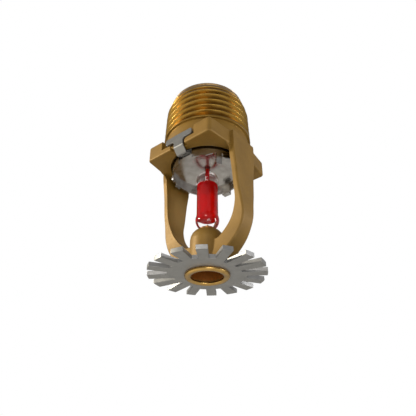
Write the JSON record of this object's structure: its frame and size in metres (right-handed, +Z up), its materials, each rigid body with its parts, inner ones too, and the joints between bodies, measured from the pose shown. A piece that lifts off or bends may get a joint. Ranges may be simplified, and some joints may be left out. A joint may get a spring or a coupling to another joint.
{
  "type": "fire sprinkler head",
  "caption": "Pendent fire sprinkler head: threaded brass frame with arms, slotted round deflector, red liquid-filled glass bulb, metal sealing cap and ejector spring.",
  "frame": {"origin": "on the thread's axis at the wrench boss's top face, where the neck of the inlet nipple starts", "axes": "+Z up the pipe, arms along X, the T notch of the ejector spring faces -Y"},
  "size_m": [0.0252, 0.0252, 0.0484],
  "materials": {
    "cast_brass": "matte cast brass, brighter on the machined thread",
    "satin_metal": "satin",
    "turned_brass": "turned, bright",
    "spring_steel": "satin",
    "copper": "turned copper",
    "bulb_glass": "clear",
    "red_liquid": "dyed liquid",
    "bright_steel": "bright pressed sheet",
    "nickel": "plain",
    "ptfe": "film"
  },
  "bodies": {
    "frame_body": {"frame": "cast_brass", "deflector": "satin_metal", "deflector_bushing": "turned_brass", "ejector_spring": "spring_steel"},
    "bulb_and_cap": {"bulb_cup": "copper", "glass_bulb": "bulb_glass", "bulb_liquid": "red_liquid", "cap_shell": "bright_steel", "cap_insert": "copper", "belleville_spring": "nickel", "seal_tape_lower": "ptfe", "seal_tape_upper": "ptfe"},
    "screw_body": {"compression_screw": "turned_brass"}
  },
  "joints": [
    {"name": "screw_travel", "type": "slide", "parent": "frame_body", "child": "bulb_and_cap", "axis": [0, 0, -1], "range_m": [0, 0.0008]},
    {"name": "screw_turn", "type": "hinge", "parent": "bulb_and_cap", "child": "screw_body", "pos_m": [0, 0, -0.0272], "axis": [0, 0, -1], "range_deg": [0, 360]}
  ],
  "couplings": [
    {"joint": "screw_turn", "follows": "screw_travel", "rad_per_m": 7853.9}
  ]
}
